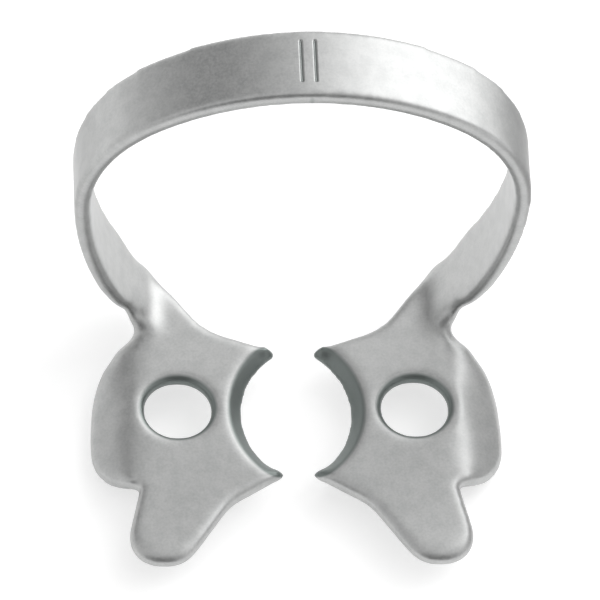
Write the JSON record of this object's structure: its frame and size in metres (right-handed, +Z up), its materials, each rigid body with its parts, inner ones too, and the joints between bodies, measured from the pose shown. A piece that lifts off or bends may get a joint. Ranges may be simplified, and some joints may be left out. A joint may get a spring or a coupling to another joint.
{
  "type": "rubber dam clamp",
  "caption": "Winged dental rubber dam clamp: one piece of spring steel, with a bow over two holed jaws that grip a tooth.",
  "frame": {"origin": "where the axis of the gripped tooth meets the underside of the jaws, midway between them", "axes": "+X across from one jaw to the other, +Y towards the bow, +Z up from the jaws' flat faces towards the top of the bow"},
  "size_m": [0.0198, 0.0155, 0.0196],
  "materials": {
    "steel": "satin"
  },
  "bodies": {
    "root": {"clamp": "steel"}
  },
  "joints": []
}
